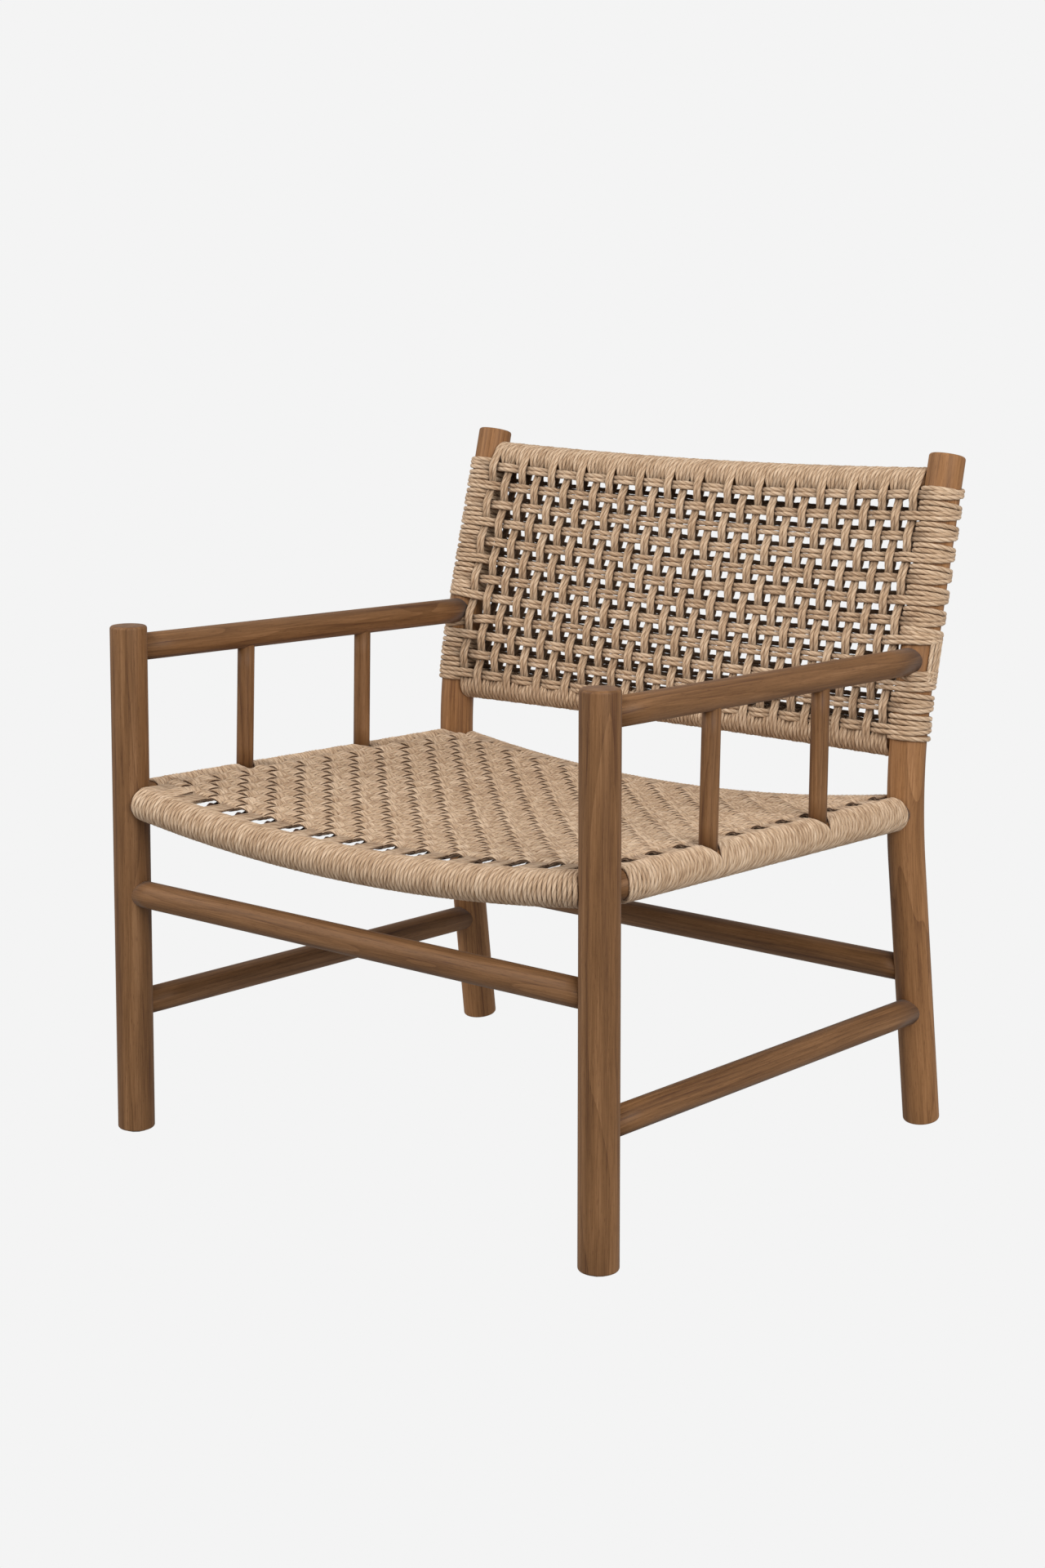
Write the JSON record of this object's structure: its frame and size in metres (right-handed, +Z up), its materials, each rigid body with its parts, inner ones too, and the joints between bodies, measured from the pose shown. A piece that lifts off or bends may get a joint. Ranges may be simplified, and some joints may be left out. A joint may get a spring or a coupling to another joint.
{
  "type": "wooden armchair",
  "caption": "Low wooden armchair of round rods, with a wound cord frame, a densely woven cord seat and an open woven cord back.",
  "frame": {"origin": "on the floor, under the middle of the chair's outer box", "axes": "+Z up, -Y towards the front of the chair, +X to the right for someone who looks at its front from the -Y side"},
  "size_m": [0.7624, 0.718, 0.8139],
  "materials": {
    "wood": "oiled mid-brown hardwood with a fine long grain",
    "cord": "twisted natural tan cord",
    "plastic": "dark brown moulded glide"
  },
  "bodies": {
    "root": {"armrest_left": "wood", "armrest_right": "wood", "back_bottom_rail": "wood", "back_leg_left": "wood", "back_leg_right": "wood", "back_seat_rail": "wood", "back_stretcher": "wood", "back_top_rail": "wood", "back_web_front": "cord", "back_web_rear": "cord", "back_wrap_bottom": "cord", "back_wrap_top": "cord", "foot_glide_back_left": "plastic", "foot_glide_back_right": "plastic", "foot_glide_front_left": "plastic", "foot_glide_front_right": "plastic", "front_leg_left": "wood", "front_leg_right": "wood", "front_seat_rail": "wood", "front_stretcher": "wood", "post_wrap_left": "cord", "post_wrap_right": "cord", "seat_web": "cord", "seat_wrap_back": "cord", "seat_wrap_front": "cord", "seat_wrap_left": "cord", "seat_wrap_right": "cord", "side_seat_rail_left": "wood", "side_seat_rail_right": "wood", "side_stretcher_left": "wood", "side_stretcher_right": "wood", "spindle_front_left": "wood", "spindle_front_right": "wood", "spindle_rear_left": "wood", "spindle_rear_right": "wood"}
  },
  "joints": []
}
